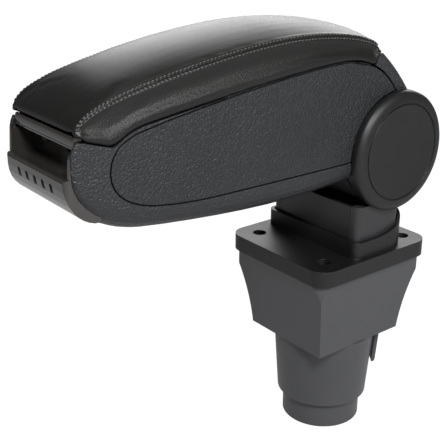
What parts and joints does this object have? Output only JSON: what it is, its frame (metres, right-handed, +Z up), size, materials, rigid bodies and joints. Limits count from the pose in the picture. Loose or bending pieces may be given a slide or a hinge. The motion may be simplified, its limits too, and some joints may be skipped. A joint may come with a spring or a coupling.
{
  "type": "car centre armrest",
  "caption": "Folding car centre armrest: a padded lid over a storage arm, hinged on a short post that stands on a cup-holder adapter.",
  "frame": {"origin": "centre of the round foot's flat bottom", "axes": "+Z up, -Y towards the arm's latch end, +X to the right of the armrest seen from its rear"},
  "size_m": [0.0988, 0.2848, 0.3049],
  "materials": {
    "adapter_plastic": "satin",
    "plate_plastic": "satin",
    "post_plastic": "satin",
    "panel_plastic": "gloss",
    "frame_steel": "satin",
    "zinc_steel": "satin",
    "dark_screws": "satin",
    "friction_lining": "matte",
    "cap_plastic": "satin",
    "arm_casting": "satin",
    "grained_plastic": "grained",
    "trim_plastic": "grained",
    "gloss_black": "gloss",
    "tray_plastic": "matte",
    "pan_plastic": "matte",
    "foam": "matte",
    "leather": "satin",
    "felt": "matte",
    "spring_steel": "bright"
  },
  "bodies": {
    "pedestal": {"adapter_housing": "adapter_plastic", "collar_plate": "plate_plastic", "plate_screws": "dark_screws", "post_frame": "frame_steel", "post_bolts": "zinc_steel", "post_nuts": "zinc_steel", "post_shell_right": "post_plastic", "post_shell_left": "post_plastic", "shell_screws": "zinc_steel", "post_front_panel": "panel_plastic", "post_rear_panel": "panel_plastic", "pivot_axle": "zinc_steel", "axle_washers": "zinc_steel", "axle_nuts": "zinc_steel", "friction_washers": "friction_lining", "stop_pin": "zinc_steel", "hub_cap_right": "cap_plastic", "hub_cap_left": "cap_plastic"},
    "arm": {"arm_frame": "arm_casting", "arm_frame_screws": "zinc_steel", "box_shell": "grained_plastic", "side_trim_right": "trim_plastic", "side_trim_left": "trim_plastic", "front_bezel": "gloss_black", "storage_tray": "tray_plastic", "rear_cover": "grained_plastic", "lid_hinge_pin": "zinc_steel"},
    "lid": {"lid_pan": "pan_plastic", "lid_foam": "foam", "lid_cover": "leather", "lid_liner": "felt", "latch_pin": "zinc_steel", "latch_spring": "spring_steel"},
    "latch": {"latch_lever": "gloss_black"}
  },
  "joints": [
    {"name": "arm_fold", "type": "hinge", "parent": "pedestal", "child": "arm", "pos_m": [0, 0.0156, 0.2155], "axis": [-1, 0, 0], "range_deg": [0, 90]},
    {"name": "lid_open", "type": "hinge", "parent": "arm", "child": "lid", "pos_m": [0, 0.001, 0.2746], "axis": [-1, 0, 0], "range_deg": [0, 75]},
    {"name": "latch_pull", "type": "hinge", "parent": "lid", "child": "latch", "pos_m": [0, -0.2164, 0.2608], "axis": [-1, 0, 0], "range_deg": [0, 16], "stiffness_Nm_per_rad": 0.03, "springref_deg": -17.19}
  ]
}
